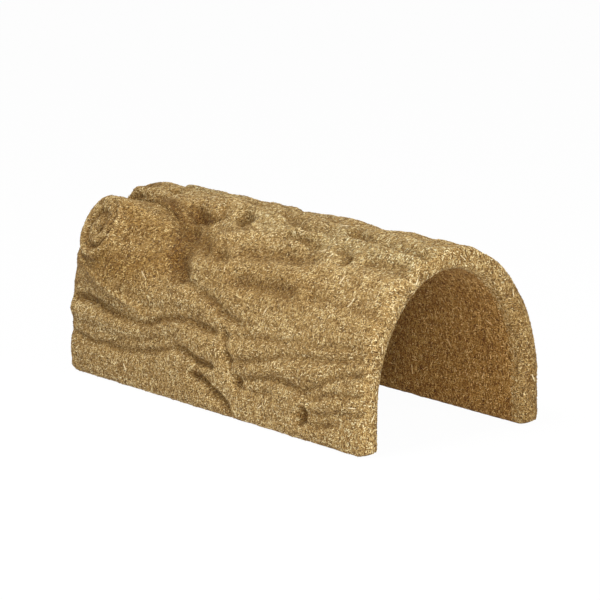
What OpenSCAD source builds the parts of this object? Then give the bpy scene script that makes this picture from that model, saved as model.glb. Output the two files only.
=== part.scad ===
// Edible hay hideout: a half log of chopped hay, pressed in one go and left open below and at both ends.
// The tunnel runs along X and stands on Z = 0, and the branch stub is at the -X end on the -Y side.
// The origin is on the floor, in the middle of the tunnel.
// A place on the bark is [distance from the middle of the log, girth up from the -Y foot], in mm.

/* [Log] */
// Length of the log, end to end
log_l = 250; // [200:1:300]
// Width across the two legs
log_w = 117; // [100:1:140]
// Height of the crown above the floor
log_h = 98; // [85:1:115]
// Height of the upright part of the legs
leg_h = 21; // [12:1:30]
// Thickness of the pressed wall
wall = 12; // [10:0.5:16]
// Rounding on the edges of both end rims
edge_r = 4; // [2:0.5:4.5]
// Rounding on the edges of the feet
foot_r = 1.5; // [1:0.5:3]

/* [Bark] */
// Depth of a groove of full strength
groove_depth = 3; // [0.5:0.1:3.5]
// Height of a ridge of full strength
ridge_h = 1.6; // [0.2:0.1:2.5]
// Height of the slow waves between the grooves
wave_h = 0.5; // [0:0.1:1]

/* [Branch stub] */
// Distance of the stub's root from the end of the log
stub_x = 36; // [35:1:60]
// Girth at which the stub's root stands
stub_girth = 80; // [70:1:85]
// Height of the stub's seat above the bare log
seat_h = 2.5; // [1.5:0.5:4]
// Radius of the stub's root along the log
root_l = 32; // [24:1:33]
// Radius of the stub's root round the log
root_g = 24; // [18:1:26]
// Radius of the sawn end
face_r = 17.5; // [12:0.5:20]
// Distance from the seat to the sawn end
stub_l = 10; // [8:1:20]
// How far the sawn end leans towards the end of the log
stub_lean = 15; // [8:1:18]
// Turn of the sawn end towards the end of the log
face_turn = 7; // [0:1:15]
// Turn of the sawn end down towards the floor
face_dip = 8; // [0:1:15]
// Depth of the spiral groove in the sawn end
spiral_depth = 2; // [0.5:0.1:3]
// Distance between two turns of the spiral
spiral_pitch = 8.5; // [7:0.5:9]

/* [Stalks] */
// Thickness of a stalk in the middle
stalk_d = 0.6; // [0.4:0.1:1.2]
// Gap between a stalk and the surface under it
stalk_gap = 0.2; // [0.1:0.05:0.3]

/* [Hidden] */
half_l = log_l / 2;
half_w = log_w / 2;
rise = log_h - leg_h;
straight_l = log_l - 2 * edge_r;
stub_mid_x = stub_x - half_l;

// Steps of the surfaces
rings = 48;
arch_steps = 92;
leg_steps = 8;
inner_arch_steps = 40;
inner_leg_steps = 2;
round_steps = 2;
stub_sides = 48;
flank_steps = 8;
face_steps = 14;
stalk_sides = 6;
stalk_steps = 4;

// How far a groove reaches to each side, in its own half widths
reach = 2.5;
// Share of the bark that is left on the flat of an end rim
rim_bark = 0.4;
// Height over which the bark starts above a foot
foot_fade = 8;
// Wavelengths of the slow waves along and round the log, and how far they wander
wave_l = 95;
wave_g = 27;
wave_wander = 70;
// Length over which the marks of the far side fade out towards the +X rim
far_plain = 35;
// Band along the crown that rises and falls: its place past the top and its half width
crown_shift = 12;
crown_w = 14;
// Flat edge left round the stub's root, and the skirt that blends the seat into the log
seat_edge = 4;
skirt_l = 10;
skirt_g = 9;
// Gap between the stub and its seat
seat_gap = 0.02;
// Least share of the seat's direction in a normal of the log for the seat to reach that place
seat_facing = 0.3;
// First radius, length in turns, start and half width of the spiral groove
spiral_r = 2.5;
spiral_turns = 1.4;
spiral_start = 270;
spiral_w = 1.7;
// How fast the spiral runs out past its last turn
spiral_fade = 3;
// Lengthwise ribs round the stub
rib_count = 7;
rib_h = 0.5;
// Thickness of a stalk's tips as a share of its middle
stalk_tip = 0.6;
// Least gap between a stalk and the flat patches of the log
patch_gap = 0.03;

// Grooves and pits of the bark: [strength, half width, line], each line in order along the log
grooves = [
    // Long grooves in the lower wall on the stub's half
    [1, 2.8, [[-119, 42], [-108, 43], [-99, 42], [-92, 40], [-82, 39], [-64, 37], [-53, 38]]],
    [1, 2.8, [[-53, 38], [-44, 42], [-31, 45], [-22, 46], [-13, 45], [4, 43]]],
    [0.5, 2.6, [[-62, 46], [-46, 48], [-35, 51], [-8, 49]]],
    [0.7, 2.6, [[-126, 30], [-100, 28], [-81, 26], [-68, 27], [-46, 31], [-28, 36]]],
    [0.9, 2.6, [[-126, 24], [-104, 20], [-91, 21], [-78, 20], [-60, 22], [-41, 26], [-28, 30]]],
    [1, 2.8, [[-28, 30], [-22, 30], [-10, 26], [3, 25]]],
    [1.2, 3.5, [[-13, 18], [-6, 17], [4, 12], [12, 9], [18, 4]]],
    // Deep valley beside the stub, and the slanting groove that runs down from it
    [0.8, 9, [[-54, 68], [-38, 84]]],
    [1.2, 5, [[-50, 80], [-44, 73], [-35, 68]]],
    [0.9, 3, [[-38, 68], [-27, 65], [-6, 60], [4, 55], [11, 53], [21, 51]]],
    // Chain of pits down the lower wall
    [0.9, 3, [[10, 44], [12, 42]]],
    [0.5, 3.5, [[12, 40], [13, 38]]],
    [1, 3, [[15, 33], [17, 31]]],
    [0.7, 3, [[17, 29], [18, 27]]],
    [1.2, 3.2, [[23, 22], [25, 20]]],
    [1.3, 3.6, [[76, 12], [78, 15]]],
    // Long grooves in the lower wall on the other half
    [0.9, 2.6, [[25, 23], [36, 25], [52, 28], [60, 28], [76, 26], [82, 28], [94, 34]]],
    [0.9, 2.6, [[94, 34], [101, 37], [112, 40], [120, 41]]],
    [0.5, 2.6, [[27, 17], [36, 18], [52, 20]]],
    [0.6, 2.6, [[79, 24], [90, 25], [98, 28], [120, 31]]],
    [0.7, 2.6, [[80, 16], [91, 17], [106, 20], [122, 22]]],
    [0.6, 2.6, [[80, 10], [90, 11], [105, 14]]],
    [0.8, 2.6, [[20, 31], [44, 36], [61, 41], [84, 43], [103, 46], [118, 49]]],
    [0.5, 2.6, [[14, 43], [40, 46], [85, 50], [116, 54]]],
    // Soft hollows high on the wall
    [0.6, 2.5, [[68, 77], [70, 70]]],
    [0.6, 2.6, [[8, 74], [14, 71], [30, 70], [50, 71]]],
    [0.4, 2.6, [[71, 73], [104, 74]]],
    [0.7, 4.5, [[-38, 85], [-30, 84], [-22, 80]]],
    [0.8, 3, [[-14, 84], [-8, 82]]],
    [0.6, 3, [[6, 85], [11, 87]]],
    [0.5, 3.5, [[10, 88], [30, 92], [52, 95]]],
    [0.5, 3.5, [[74, 97], [95, 96], [118, 96]]],
    [1, 3.5, [[73, 100], [76, 96]]],
    // Splits and hollows along the crown
    [1.6, 4, [[-57, 106], [-48, 105]]],
    [1.1, 3.5, [[-48, 105], [-35, 108]]],
    [0.8, 3.5, [[-42, 114], [-40, 107]]],
    [1.5, 4, [[-22, 111], [-18, 107]]],
    [1.3, 3.5, [[-98, 123], [-90, 119]]],
    [0.9, 3.5, [[-96, 109], [-92, 109]]],
    [1.1, 4.5, [[-126, 107], [-106, 106], [-90, 104]]],
    [1.3, 4, [[-4, 123], [6, 121], [14, 120]]],
    [0.9, 3.5, [[18, 113], [22, 112]]],
    [1.2, 3.5, [[24, 116], [44, 116]]],
    [1.3, 4, [[58, 119], [66, 119]]],
    [1, 4, [[66, 119], [92, 118]]],
    [0.9, 3.5, [[20, 101], [24, 101]]],
    [1, 3.5, [[32, 104], [37, 104]]],
    [0.7, 3, [[37, 104], [56, 106]]],
    [0.8, 3.5, [[46, 100], [52, 101]]],
    [1, 4, [[100, 114], [119, 113]]]
];

// Ridges and swellings of the bark, in the same form
ridges = [
    // Crown and upper wall
    [0.8, 3, [[-40, 122], [-28, 119], [-14, 116], [8, 114]]],
    [0.6, 4, [[-76, 112], [-62, 116], [-44, 119]]],
    [0.7, 3, [[22, 107], [42, 108]]],
    [0.7, 3, [[85, 108], [99, 106], [122, 106]]],
    [0.6, 3, [[24, 99], [42, 99]]],
    [0.7, 3, [[-29, 92], [-22, 95], [-4, 100]]],
    [0.6, 4, [[-40, 75], [-20, 76]]],
    [0.4, 5, [[-20, 77], [10, 82], [50, 81]]],
    // Lower wall, between the long grooves
    [0.8, 4, [[-122, 64], [-116, 60], [-108, 57], [-94, 54], [-80, 52]]],
    [0.6, 6, [[-90, 51], [-60, 54], [-30, 57], [-10, 53]]],
    [0.6, 5, [[-108, 34], [-90, 33], [-60, 33], [-35, 40], [-8, 37]]],
    [0.5, 5, [[-120, 12], [-80, 13], [-45, 17], [-30, 22]]],
    [0.5, 4, [[30, 29], [60, 34], [85, 38]]],
    [0.5, 4, [[72, 19], [90, 21], [112, 26]]],
    // Bulges at the end by the stub
    [1.6, 4, [[-126, 36], [-108, 35]]],
    [1.1, 9, [[-126, 56], [-108, 54]]],
    [0.9, 5, [[-126, 114], [-116, 116]]]
];

// Rise and fall of the crown along the log, as [distance from the middle, lift]
crown_lifts = [
    [-125, -2],
    [-115, -1],
    [-100, -2],
    [-80, -1],
    [-65, 0],
    [-45, 0.5],
    [-25, 0],
    [-5, -2],
    [8, -2],
    [22, -1],
    [48, -0.5],
    [56, -2],
    [62, -2],
    [74, -0.5],
    [90, 0],
    [105, -0.5],
    [115, -1.5],
    [125, 0.5]
];

// Stalks on the bark: [place, turn away from the log's length, length]
bark_stalk_places = [
    [[half_l - 26, 75], 62, 6],
    [[48, 122], 25, 5],
    [[57, 99], 40, 4],
    [[-2, 76], 110, 4],
    [[half_l - 8, 25], 5, 5],
    [[40, 60], 75, 4],
    [[stub_mid_x + 29, 62], 130, 4],
    [[-70, 12], 120, 4],
    [[25 - half_l, 34], 15, 4],
    [[85, 85], 80, 5],
    [[45, 12], 35, 4],
    [[-60, 122], 10, 5],
    [[35 - half_l, 150], 70, 5],
    [[5, 160], 30, 5],
    [[60, 190], 75, 5],
    [[-30, 198], 50, 5],
    [[-75, 225], 165, 5]
];
// Stalks on each end rim: [share of the way round the rim, turn away from the rim's own line, length]
rim_stalk_places = [
    [0.08, 30, 4],
    [0.22, 160, 4],
    [0.38, 150, 4],
    [0.52, 35, 4],
    [0.7, 25, 4],
    [0.9, 155, 4]
];
// Stalks on the tunnel wall: [distance along the log, share of the way round, turn, length]
tunnel_stalk_places = [
    [70, 0.84, 60, 5],
    [95, 0.9, 120, 4],
    [105, 0.76, 30, 5],
    [40, 0.93, 80, 5],
    [55, 0.5, 45, 5],
    [-60, 0.87, 70, 5],
    [90, 0.12, 110, 5],
    [-25, 0.1, 85, 5]
];

// Outline of one arch from the -Y foot to the +Y foot, as [y, z, y of normal, z of normal]
// side is 1 for the outside of the wall and -1 for the inside
function arch_half(side_w, side, steps) = concat(
    [for (k = [0:round_steps]) let (turn = 90 * k / round_steps) [
        -side_w + side * foot_r * (1 - sin(turn)),
        foot_r * (1 - cos(turn)),
        -side * sin(turn),
        -cos(turn)
    ]],
    [for (k = [1:steps]) [-side_w, foot_r + (leg_h - foot_r) * k / steps, -side, 0]]
);
function arch_top(side_w, side_rise, side, steps) = [
    for (k = [1:steps - 1])
        let (
            turn = 180 * k / steps,
            lean = [-cos(turn) / side_w, sin(turn) / side_rise],
            out = side * lean / norm(lean)
        )
        [-side_w * cos(turn), leg_h + side_rise * sin(turn), out[0], out[1]]
];
function backwards(line) = [for (k = [len(line) - 1:-1:0]) line[k]];
function mirrored(line) = [for (p = backwards(line)) [-p[0], p[1], -p[2], p[3]]];
function arch_line(side_w, side_rise, side, legs, steps) =
    let (half = arch_half(side_w, side, legs))
    concat(half, arch_top(side_w, side_rise, side, steps), mirrored(half));
function step_length(line, k) = norm([line[k + 1][0] - line[k][0], line[k + 1][1] - line[k][1]]);
// Girth from the first point to each point
function girths(line) = [
    for (
        k = 0, sum = 0;
        k < len(line);
        sum = k < len(line) - 1 ? sum + step_length(line, k) : sum, k = k + 1
    )
        sum
];

outer_line = arch_line(half_w, rise, 1, leg_steps, arch_steps);
inner_line = arch_line(half_w - wall, rise - wall, -1, inner_leg_steps, inner_arch_steps);
outer_girths = girths(outer_line);
inner_girths = girths(inner_line);
girth = outer_girths[len(outer_girths) - 1];
inner_girth = inner_girths[len(inner_girths) - 1];
outer_table = [for (k = [0:len(outer_line) - 1]) concat([outer_girths[k]], outer_line[k])];
inner_table = [for (k = [0:len(inner_line) - 1]) concat([inner_girths[k]], inner_line[k])];

// Outline entry at any girth, read between the points of the outline
function column(table, c) = [for (row = table) [row[0], row[c]]];
outer_columns = [for (c = [1:4]) column(outer_table, c)];
inner_columns = [for (c = [1:4]) column(inner_table, c)];
function line_at(columns, g) = [for (c = [0:3]) lookup(g, columns[c])];

// Distance of a place from a line on the bark
function step_distance(place, a, b) =
    let (ab = b - a, share = max(0, min(1, (place - a) * ab / (ab * ab))))
    norm(place - a - share * ab);
function line_distance(place, line) =
    min([for (k = [0:len(line) - 2]) step_distance(place, line[k], line[k + 1])]);
function strongest(place, marks) = max([
    0,
    for (mark = marks)
        let (w = mark[1], line = mark[2], first = line[0], last = line[len(line) - 1])
        if (place[0] > first[0] - reach * w && place[0] < last[0] + reach * w)
            mark[0] * exp(-pow(line_distance(place, line) / w, 2))
]);
function marks_at(place) = ridge_h * strongest(place, ridges) - groove_depth * strongest(place, grooves);
function wave_at(place) =
    let (round = sin(360 * place[1] / wave_g))
    wave_h * sin(360 * place[0] / wave_l + wave_wander * round) * round;
function crown_at(place) =
    lookup(place[0], crown_lifts) * exp(-pow((place[1] - girth / 2 - crown_shift) / crown_w, 2));
// The far side repeats the marks of the near side, turned end for end, up to its plain +X rim
function bark_at(place) =
    let (
        foot = min(place[1], girth - place[1]),
        fade = min(1, foot / foot_fade),
        far_share = max(0, min(1, (half_l - place[0]) / far_plain)),
        marks = marks_at(place) + far_share * marks_at([-place[0], girth - place[1]])
    )
    fade * (marks + wave_at(place) + crown_at(place));

// Frame of the stub's seat: its middle, the girth direction and the outward normal
seat_line = line_at(outer_columns, stub_girth);
seat_n = let (n = [0, seat_line[2], seat_line[3]]) n / norm(n);
seat_v = [0, seat_n[2], -seat_n[1]];
seat_u = [1, 0, 0];
seat_mid = [stub_mid_x, seat_line[0], seat_line[1]] + seat_h * seat_n;

// Height of the seat and its skirt above the bare log
function oval(a, b, l, g) = norm([a / l, b / g]);
function skirt_share(a, b) =
    let (
        inside = oval(a, b, root_l + seat_edge, root_g + seat_edge) - 1,
        outside = 1 - oval(a, b, root_l + seat_edge + skirt_l, root_g + seat_edge + skirt_g)
    )
    inside <= 0 ? 1 : outside <= 0 ? 0 : outside / (outside + inside);
function seat_at(point, normal) =
    let (facing = normal * seat_n)
    facing < seat_facing ? [0, 0] :
    let (
        lift = (seat_mid - point) * seat_n / facing,
        spot = point + lift * normal - seat_mid,
        share = skirt_share(spot * seat_u, spot * seat_v)
    )
    [max(0, lift), share];

// Height of the outside above the bare log, with the seat in place of bark under the stub
function relief_at(x, g, line) =
    let (seat = seat_at([x, line[0], line[1]], [0, line[2], line[3]]))
    seat[0] * seat[1] + (1 - seat[1]) * bark_at([x, g]);
function moved(x, line, lift) = [x, line[0] + lift * line[2], line[1] + lift * line[3]];

// Height of the log's flat patches above the bare log, folded along their more level diagonals
function ring_x(i) = -half_l + edge_r + straight_l * i / rings;
function patch_at(x, g) =
    let (
        i = max(0, min(rings - 1, floor((x - ring_x(0)) * rings / straight_l))),
        j = max([0, for (k = [0:len(outer_girths) - 2]) if (outer_girths[k] <= g) k]),
        s = (x - ring_x(i)) * rings / straight_l,
        t = (g - outer_girths[j]) / (outer_girths[j + 1] - outer_girths[j]),
        low = [for (k = [j, j + 1]) relief_at(ring_x(i), outer_girths[k], outer_line[k])],
        high = [for (k = [j, j + 1]) relief_at(ring_x(i + 1), outer_girths[k], outer_line[k])],
        level = abs(high[1] - low[0]) < abs(high[0] - low[1]),
        rising = s > t ?
            low[0] + s * (high[0] - low[0]) + t * (high[1] - high[0]) :
            low[0] + t * (low[1] - low[0]) + s * (high[1] - low[1]),
        falling = s + t < 1 ?
            low[0] + s * (high[0] - low[0]) + t * (low[1] - low[0]) :
            high[1] + (1 - s) * (low[1] - high[1]) + (1 - t) * (high[0] - high[1])
    )
    level ? rising : falling;
// Height that a stalk lies on: the smooth bark, or a patch that stands out from it too far
function stalk_bed(x, g, line) = max(relief_at(x, g, line), patch_at(x, g) + patch_gap - stalk_gap);

// Frame of the sawn end
face_mid = seat_mid + stub_l * seat_n - stub_lean * seat_u;
face_tilt = seat_n * cos(face_dip) - seat_v * sin(face_dip);
face_n = face_tilt * cos(face_turn) - seat_u * sin(face_turn);
face_v = seat_v * cos(face_dip) + seat_n * sin(face_dip);
face_u = cross(face_v, face_n);

// Arched wall: outside with bark, plain tunnel, flat feet and rounded rims
module log_shell() {
    outer_count = len(outer_line);
    inner_count = len(inner_line);
    closed = concat(outer_line, backwards(inner_line));
    closed_count = len(closed);
    lifts = [
        for (i = [0:rings])
            for (j = [0:outer_count - 1]) relief_at(ring_x(i), outer_girths[j], outer_line[j])
    ];
    outside = [
        for (i = [0:rings])
            for (j = [0:outer_count - 1]) moved(ring_x(i), outer_line[j], lifts[i * outer_count + j])
    ];
    tunnel = [
        for (end = [-1, 1])
            for (j = [outer_count:closed_count - 1]) moved(end * (half_l - edge_r), closed[j], 0)
    ];
    rims = [
        for (end = [-1, 1])
            for (k = [1:round_steps])
                let (
                    turn = 90 * k / round_steps,
                    x = end * (half_l - edge_r + edge_r * sin(turn)),
                    inset = edge_r * (1 - cos(turn)),
                    share = 1 - (1 - rim_bark) * k / round_steps
                )
                for (j = [0:closed_count - 1])
                    let (bark = j < outer_count ? share * relief_at(x, outer_girths[j], closed[j]) : 0)
                    moved(x, closed[j], bark - inset)
    ];
    tunnel_first = len(outside);
    rims_first = tunnel_first + len(tunnel);
    // Number of point j on step k of the rim at an end, where end is 0 or 1
    function rim(end, k, j) =
        k > 0 ? rims_first + (end * round_steps + k - 1) * closed_count + j :
        j < outer_count ? end * rings * outer_count + j :
        tunnel_first + end * inner_count + j - outer_count;
    // Each patch is split along its more level diagonal, so that slanting grooves stay smooth
    outside_faces = [
        for (i = [0:rings - 1])
            for (j = [0:outer_count - 2])
                let (a = i * outer_count + j, b = a + outer_count)
                each abs(lifts[b + 1] - lifts[a]) < abs(lifts[b] - lifts[a + 1]) ?
                    [[a, a + 1, b + 1], [a, b + 1, b]] :
                    [[a, a + 1, b], [b, a + 1, b + 1]]
    ];
    tunnel_faces = [
        for (j = [outer_count:closed_count - 2])
            [rim(0, 0, j), rim(0, 0, j + 1), rim(1, 0, j + 1), rim(1, 0, j)]
    ];
    foot_faces = [
        concat(
            [rim(1, 0, closed_count - 1), rim(0, 0, closed_count - 1)],
            [for (i = [0:rings]) i * outer_count]
        ),
        concat(
            [rim(0, 0, outer_count), rim(1, 0, outer_count)],
            [for (i = [rings:-1:0]) (i + 1) * outer_count - 1]
        )
    ];
    rim_faces = [
        for (k = [0:round_steps - 1])
            for (j = [0:closed_count - 1])
                let (next = (j + 1) % closed_count)
                each [
                    [rim(0, k + 1, j), rim(0, k + 1, next), rim(0, k, j)],
                    [rim(0, k, j), rim(0, k + 1, next), rim(0, k, next)],
                    [rim(1, k, j), rim(1, k, next), rim(1, k + 1, j)],
                    [rim(1, k + 1, j), rim(1, k, next), rim(1, k + 1, next)]
                ]
    ];
    // Point of the tunnel's outline that faces point j of the outside
    function facing(j) = closed_count - 1 - round(j * (inner_count - 1) / (outer_count - 1));
    end_faces = [
        for (j = [0:outer_count - 2])
            let (a = facing(j), b = facing(j + 1))
            each concat(
                [
                    [rim(0, round_steps, j + 1), rim(0, round_steps, j), rim(0, round_steps, a)],
                    [rim(1, round_steps, j), rim(1, round_steps, j + 1), rim(1, round_steps, a)]
                ],
                a == b ? [] : [
                    [rim(0, round_steps, j + 1), rim(0, round_steps, a), rim(0, round_steps, b)],
                    [rim(1, round_steps, j + 1), rim(1, round_steps, b), rim(1, round_steps, a)]
                ]
            )
    ];
    color("tan")
        polyhedron(
            points = concat(outside, tunnel, rims),
            faces = concat(outside_faces, tunnel_faces, foot_faces, rim_faces, end_faces)
        );
}

// Depth of the spiral groove at a radius and angle on the sawn end
function spiral_at(r, angle) =
    let (
        turn = (((angle - spiral_start) % 360) + 360) % 360 / 360,
        gaps = [
            for (k = [0:ceil(spiral_turns)])
                let (past = max(0, turn + k - spiral_turns))
                norm([r - spiral_r - spiral_pitch * (turn + k), spiral_pitch * past * spiral_fade])
        ]
    )
    spiral_depth * exp(-pow(min(gaps) / spiral_w, 2));

// Branch stump: flared root on the seat, ribbed flank and sawn end with a spiral groove
module branch_stub() {
    angles = [for (s = [0:stub_sides - 1]) 360 * s / stub_sides];
    root = seat_mid + seat_gap * seat_n;
    flank = [
        for (k = [0:flank_steps])
            let (up = k / flank_steps, rib = rib_h * sin(180 * up))
            for (angle = angles)
                let (
                    low = root + root_l * cos(angle) * seat_u + root_g * sin(angle) * seat_v,
                    brim = face_r * (cos(angle) * face_u + sin(angle) * face_v),
                    high = face_mid + brim - edge_r * face_n,
                    out = cos(angle) * seat_u + sin(angle) * seat_v
                )
                low + up * (high - low) + rib * sin(rib_count * angle) * out
    ];
    edge = [
        for (k = [1:round_steps])
            let (
                turn = 90 * k / round_steps,
                r = face_r - edge_r * (1 - cos(turn)),
                drop = edge_r * (1 - sin(turn))
            )
            for (angle = angles)
                face_mid + r * (cos(angle) * face_u + sin(angle) * face_v) - drop * face_n
    ];
    face = [
        for (k = [1:face_steps - 1])
            let (r = (face_r - edge_r) * (1 - k / face_steps))
            for (angle = angles)
                let (spoke = cos(angle) * face_u + sin(angle) * face_v)
                face_mid + r * spoke - spiral_at(r, angle) * face_n
    ];
    points = concat(flank, edge, face, [face_mid]);
    rows = flank_steps + round_steps + face_steps;
    side_faces = [
        for (k = [0:rows - 2])
            for (s = [0:stub_sides - 1])
                let (a = k * stub_sides + s, b = k * stub_sides + (s + 1) % stub_sides)
                each [[a, a + stub_sides, b], [b, a + stub_sides, b + stub_sides]]
    ];
    last = (rows - 1) * stub_sides;
    middle_faces = [
        for (s = [0:stub_sides - 1]) [last + s, len(points) - 1, last + (s + 1) % stub_sides]
    ];
    root_face = [for (s = [0:stub_sides - 1]) s];
    color("burlywood")
        polyhedron(points = points, faces = concat([root_face], side_faces, middle_faces));
}

// One stalk along a line of points, each with the normal of the surface under it
module stalk(points, normals) {
    last = len(points) - 1;
    skin = [
        for (k = [0:last])
            let (
                ahead = points[min(last, k + 1)] - points[max(0, k - 1)],
                across = let (c = cross(ahead, normals[k])) c / norm(c),
                middle = points[k] + (stalk_d / 2 + stalk_gap) * normals[k],
                r = stalk_d / 2 * (k == 0 || k == last ? stalk_tip : 1)
            )
            for (s = [0:stalk_sides - 1])
                let (angle = 360 * s / stalk_sides)
                middle + r * (cos(angle) * across + sin(angle) * normals[k])
    ];
    sides = [
        for (k = [0:last - 1])
            for (s = [0:stalk_sides - 1])
                let (a = k * stalk_sides + s, b = k * stalk_sides + (s + 1) % stalk_sides)
                each [[a, b, a + stalk_sides], [b, b + stalk_sides, a + stalk_sides]]
    ];
    polyhedron(
        points = skin,
        faces = concat(
            [[for (s = [stalk_sides - 1:-1:0]) s]],
            sides,
            [[for (s = [0:stalk_sides - 1]) last * stalk_sides + s]]
        )
    );
}

// Long stalks that lie in the bark
module bark_stalks() {
    color("wheat")
        for (entry = bark_stalk_places) {
            way = [cos(entry[1]), sin(entry[1])];
            places = [for (k = [0:stalk_steps]) entry[0] + entry[2] * (k / stalk_steps - 0.5) * way];
            lines = [for (place = places) line_at(outer_columns, place[1])];
            stalk(
                [
                    for (k = [0:stalk_steps])
                        let (x = places[k][0], g = places[k][1])
                        moved(x, lines[k], stalk_bed(x, g, lines[k]))
                ],
                [for (line = lines) [0, line[2], line[3]]]
            );
        }
}

// Stalks that lie in the flat of both end rims
module rim_stalks() {
    color("wheat")
        for (end = [-1, 1])
            for (entry = rim_stalk_places) {
                outer = line_at(outer_columns, entry[0] * girth);
                mid = [end * half_l, outer[0] - outer[2] * wall / 2, outer[1] - outer[3] * wall / 2];
                along = [0, -outer[3], outer[2]];
                out = [0, outer[2], outer[3]];
                way = along * cos(entry[1]) + out * sin(entry[1]);
                stalk(
                    [for (k = [0:stalk_steps]) mid + entry[2] * (k / stalk_steps - 0.5) * way],
                    [for (k = [0:stalk_steps]) [end, 0, 0]]
                );
            }
}

// Stalks that lie in the tunnel wall
module tunnel_stalks() {
    color("wheat")
        for (entry = tunnel_stalk_places) {
            way = [cos(entry[2]), sin(entry[2])];
            middle = [entry[0], entry[1] * inner_girth];
            places = [for (k = [0:stalk_steps]) middle + entry[3] * (k / stalk_steps - 0.5) * way];
            lines = [for (place = places) line_at(inner_columns, place[1])];
            stalk(
                [for (k = [0:stalk_steps]) moved(places[k][0], lines[k], 0)],
                [for (line = lines) [0, line[2], line[3]]]
            );
        }
}

log_shell();
branch_stub();
bark_stalks();
rim_stalks();
tunnel_stalks();
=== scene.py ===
"""Edible hay hideout: the pressed half log, its branch stub and the loose stalks in its skin."""
import math
import random
from bisect import bisect
from itertools import accumulate

import bmesh
import bpy
import numpy as np
from mathutils import Matrix, Vector, noise


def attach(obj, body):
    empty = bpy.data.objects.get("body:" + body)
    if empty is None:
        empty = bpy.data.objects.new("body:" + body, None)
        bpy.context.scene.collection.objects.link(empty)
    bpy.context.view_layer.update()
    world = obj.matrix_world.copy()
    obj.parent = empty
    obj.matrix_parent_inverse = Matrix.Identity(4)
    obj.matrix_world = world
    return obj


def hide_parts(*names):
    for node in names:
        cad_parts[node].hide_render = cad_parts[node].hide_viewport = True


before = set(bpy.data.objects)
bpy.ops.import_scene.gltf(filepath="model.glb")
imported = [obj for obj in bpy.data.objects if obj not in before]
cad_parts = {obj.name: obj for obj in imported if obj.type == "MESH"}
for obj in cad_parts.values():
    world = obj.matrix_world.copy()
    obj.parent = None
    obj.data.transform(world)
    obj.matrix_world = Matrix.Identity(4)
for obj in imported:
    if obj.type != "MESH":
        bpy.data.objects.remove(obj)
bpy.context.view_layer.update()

MM = 0.001

# Log, as the solids have it
LOG_LENGTH = 250 * MM
LOG_WIDTH = 117 * MM
LOG_HEIGHT = 98 * MM
LEG_HEIGHT = 21 * MM
WALL = 12 * MM
EDGE = 4 * MM
HALF_LENGTH = LOG_LENGTH / 2
HALF_WIDTH = LOG_WIDTH / 2
RISE = LOG_HEIGHT - LEG_HEIGHT
# What the way round a foot's rounded edge adds to the girth
FOOT_TURN = 0.8 * MM
# Girth of the bare arch at each angle, from where the -Y leg ends to where the +Y leg starts
ARCH_POINTS = 361
ARCH_ANGLES = np.linspace(0, math.pi, ARCH_POINTS)
ARCH_LINE = np.stack([-HALF_WIDTH * np.cos(ARCH_ANGLES), RISE * np.sin(ARCH_ANGLES)], axis=1)
ARCH_STEPS = np.linalg.norm(np.diff(ARCH_LINE, axis=0), axis=1)
ARCH_GIRTHS = FOOT_TURN + LEG_HEIGHT + np.concatenate([[0], np.cumsum(ARCH_STEPS)])
GIRTH = ARCH_GIRTHS[-1] + LEG_HEIGHT + FOOT_TURN
# How much of its normal points to an end, or to the floor, on a face that is no longer bark
END_FACING = 0.75

# Branch stub, as the solids have it
STUB_ROOT = 36 * MM
STUB_GIRTH = 80 * MM
SEAT_HEIGHT = 2.5 * MM
ROOT_LENGTH = 32 * MM
ROOT_GIRTH = 24 * MM
STUB_LENGTH = 10 * MM
STUB_LEAN = 15 * MM
FACE_TURN = math.radians(7)
FACE_DIP = math.radians(8)
SPIRAL_START = 2.5 * MM
SPIRAL_PITCH = 8.5 * MM
SPIRAL_TURNS = 1.4
# Turn from the spiral's start to the sawn end's x direction, and how steeply it fades past its end
SPIRAL_LEAD = 0.25
SPIRAL_FADE = 3

# Photograph's view
CAMERA_AZIMUTH = 51.36
CAMERA_ELEVATION = 11.71
CAMERA_DISTANCE = 1.5852
CAMERA_TARGET = Vector((3.72, 0, 51.57)) * MM
CAMERA_LENS = 183.03
CAMERA_SENSOR = 36

# Skin of the pressing: its mesh, its lumps and its grain
LOG_MESH = 2.1 * MM
STUB_MESH = 0.9 * MM
MERGE_GAP = 0.001 * MM
SMOOTHING = 0.5
SMOOTH_ROUNDS = 2
LUMP_SIZE = 8 * MM
LUMP_HEIGHT = 0.25 * MM
GRAIN_SIZE = 2 * MM
GRAIN_HEIGHT = 0.14 * MM
GRAIN_MAP = "grain"
GRAIN_STRIPS = 24
# Shifts of the grain on its map, in millimetres: on the rims, and from strip to strip round the log
RIM_SHIFT = 500.0
STRIP_SHIFT = 31.0
TINT = "tint"

# Fine spiral and brim of the sawn end, and how far the stub's root flares and sinks into the wall
SPIRAL_DEPTH = 1.6 * MM
SPIRAL_HALF_WIDTH = 1.2 * MM
FACE_RADIUS = 17.5 * MM
BRIM_HEIGHT = 0.8 * MM
BRIM_HALF_WIDTH = 1.8 * MM
FLARE_HEIGHT = 7 * MM
FLARE_REACH = 5 * MM
ROOT_SINK = 1.2 * MM
# Half lengths of the root behind its middle at which it starts to sink towards the valley
SINK_START = 0.5
# How far the sawn end hangs below its solid for each radius down from the start, which is in radii above
# its middle, and the most radii that count
FACE_DROOP = 3 * MM
DROOP_START = 0.5
DROOP_MOST = 1.5
# Room round the stub in which the marks of the bark fade out, as a share of its root
ROOT_CLEARANCE = 0.05
# Crease between the stub and the crown, in millimetres along and across the stub's seat
CREASE_DEPTH = 6.0
CREASE_HALF_WIDTH = 4.5
CREASE_LINE = [(-24, 25), (-8, 23), (12, 20), (28, 17), (44, 12)]
# How far below the stub's seat the crease still cuts
CREASE_REACH = 15 * MM
# Painted highlight along the crest of the stub beside the crease: how far it lies below the crease, and its
# half width
CREST_DROP = 6.5
CREST_HALF_WIDTH = 2

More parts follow.
